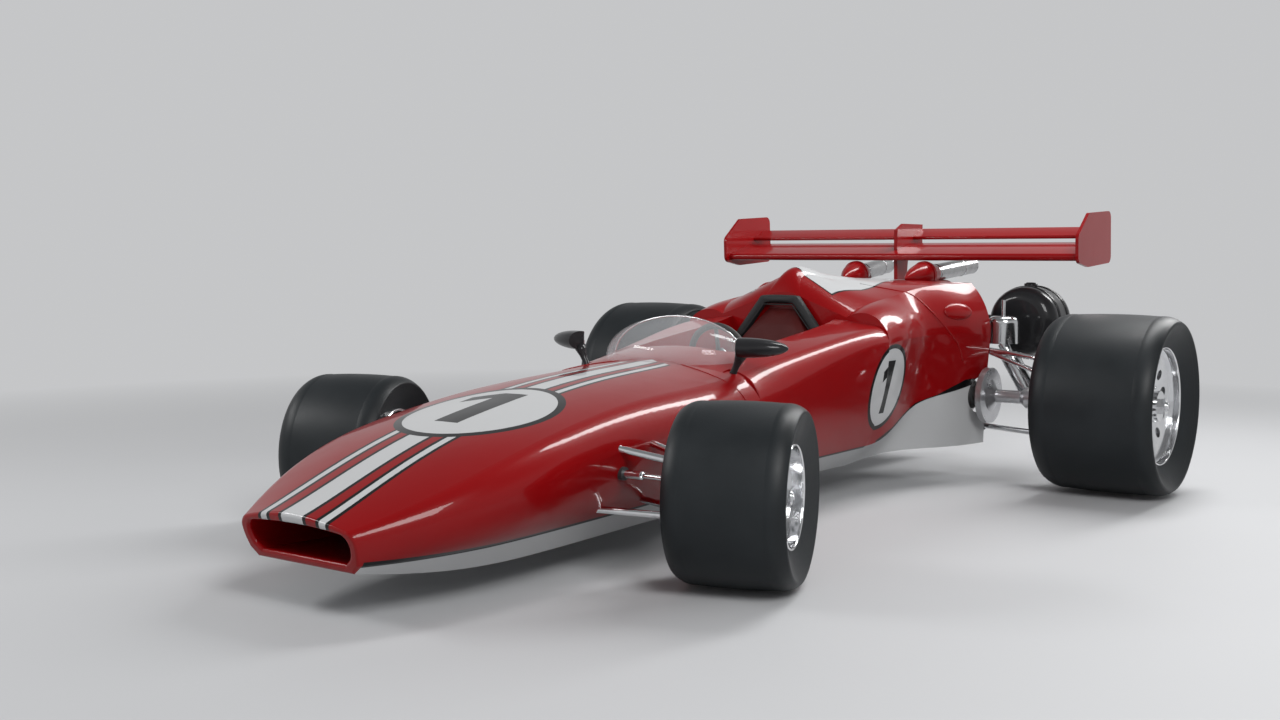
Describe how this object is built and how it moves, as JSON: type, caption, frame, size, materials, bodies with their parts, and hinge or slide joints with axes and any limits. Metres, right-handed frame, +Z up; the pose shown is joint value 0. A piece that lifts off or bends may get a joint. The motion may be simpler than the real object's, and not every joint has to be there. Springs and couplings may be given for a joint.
{
  "type": "open wheel racing car",
  "caption": "Open wheel single-seat racing car with a low wedge nose, steered front wheels, wide rear slick tyres and a strut-mounted rear wing",
  "frame": {"origin": "centre of the car's bounding box, on the floor", "axes": "+Z is up; the nose points along -Y; +X is the car's left side"},
  "size_m": [2.826, 4.0494, 1.1877],
  "materials": {
    "body_red": "gloss deep red paint with white stripes and black edge lines",
    "wing_red": "gloss deep red paint",
    "body_white": "gloss white paint",
    "clear_screen": "clear acrylic",
    "radiator_black": "matt black core",
    "seat_red": "dark red quilted cover",
    "pad_black": "black padded roll",
    "cockpit_black": "black grips and panel",
    "cast_alloy": "cast, sand texture",
    "chrome_tube": "polished tube",
    "wheel_chrome": "polished dish",
    "frame_black": "satin black",
    "gloss_black": "gloss black",
    "brake_steel": "turned face",
    "tyre": "smooth tread, satin"
  },
  "bodies": {
    "chassis": {"nose_tip": "body_red", "nose_cone": "body_red", "radiator": "radiator_black", "tub": "body_red", "windscreen": "clear_screen", "seat": "seat_red", "headrest_pad": "pad_black", "steering_wheel": "cockpit_black", "dash_panel": "cockpit_black", "engine_cover": "body_red", "tail_pan": "body_white", "engine_block": "cast_alloy", "gearbox": "cast_alloy", "exhaust_pipes": "chrome_tube", "tail_frame": "frame_black", "oil_drums": "gloss_black", "wing_main": "wing_red", "wing_flap": "wing_red", "end_plates": "wing_red", "wing_pylon": "wing_red", "mirrors": "gloss_black", "front_arms_left": "chrome_tube", "front_arms_right": "chrome_tube", "rack_tube": "frame_black", "upright_rear_left": "cast_alloy", "upright_rear_right": "cast_alloy", "rear_links_left": "chrome_tube", "rear_links_right": "chrome_tube", "damper_left": "chrome_tube", "damper_right": "chrome_tube"},
    "rack": {"steering_rack": "chrome_tube"},
    "knuckle_left": {"knuckle_front_left": "cast_alloy"},
    "knuckle_right": {"knuckle_front_right": "cast_alloy"},
    "front_wheel_left": {"tyre_front_left": "tyre", "rim_front_left": "wheel_chrome", "brake_front_left": "brake_steel"},
    "rear_wheel_left": {"tyre_rear_left": "tyre", "rim_rear_left": "wheel_chrome", "half_shaft_left": "brake_steel"},
    "front_wheel_right": {"tyre_front_right": "tyre", "rim_front_right": "wheel_chrome", "brake_front_right": "brake_steel"},
    "rear_wheel_right": {"tyre_rear_right": "tyre", "rim_rear_right": "wheel_chrome", "half_shaft_right": "brake_steel"}
  },
  "joints": [
    {"name": "steer_left", "type": "hinge", "parent": "chassis", "child": "knuckle_left", "pos_m": [0.742, -1.02, 0.2835], "axis": [0, 0, 1], "range_deg": [-39.5, 2.5]},
    {"name": "steer_right", "type": "hinge", "parent": "chassis", "child": "knuckle_right", "pos_m": [-0.742, -1.02, 0.2835], "axis": [0, 0, 1], "range_deg": [-39.5, 2.5]},
    {"name": "rack_slide", "type": "slide", "parent": "chassis", "child": "rack", "axis": [1, 0, 0], "range_m": [-0.058, 0.0037]},
    {"name": "roll_front_left", "type": "hinge", "parent": "knuckle_left", "child": "front_wheel_left", "pos_m": [0.80554, -0.99874, 0.2835], "axis": [0.9483, 0.3173, 0], "continuous": true},
    {"name": "roll_front_right", "type": "hinge", "parent": "knuckle_right", "child": "front_wheel_right", "pos_m": [-0.80554, -1.04126, 0.2835], "axis": [0.9483, 0.3173, 0], "continuous": true},
    {"name": "roll_rear_left", "type": "hinge", "parent": "chassis", "child": "rear_wheel_left", "pos_m": [1.166, 1.33, 0.3765], "axis": [1, 0, 0], "continuous": true},
    {"name": "roll_rear_right", "type": "hinge", "parent": "chassis", "child": "rear_wheel_right", "pos_m": [-1.166, 1.33, 0.3765], "axis": [1, 0, 0], "continuous": true}
  ],
  "couplings": [
    {"joint": "steer_right", "follows": "steer_left", "ratio": 1},
    {"joint": "rack_slide", "follows": "steer_left", "m_per_rad": 0.084}
  ]
}
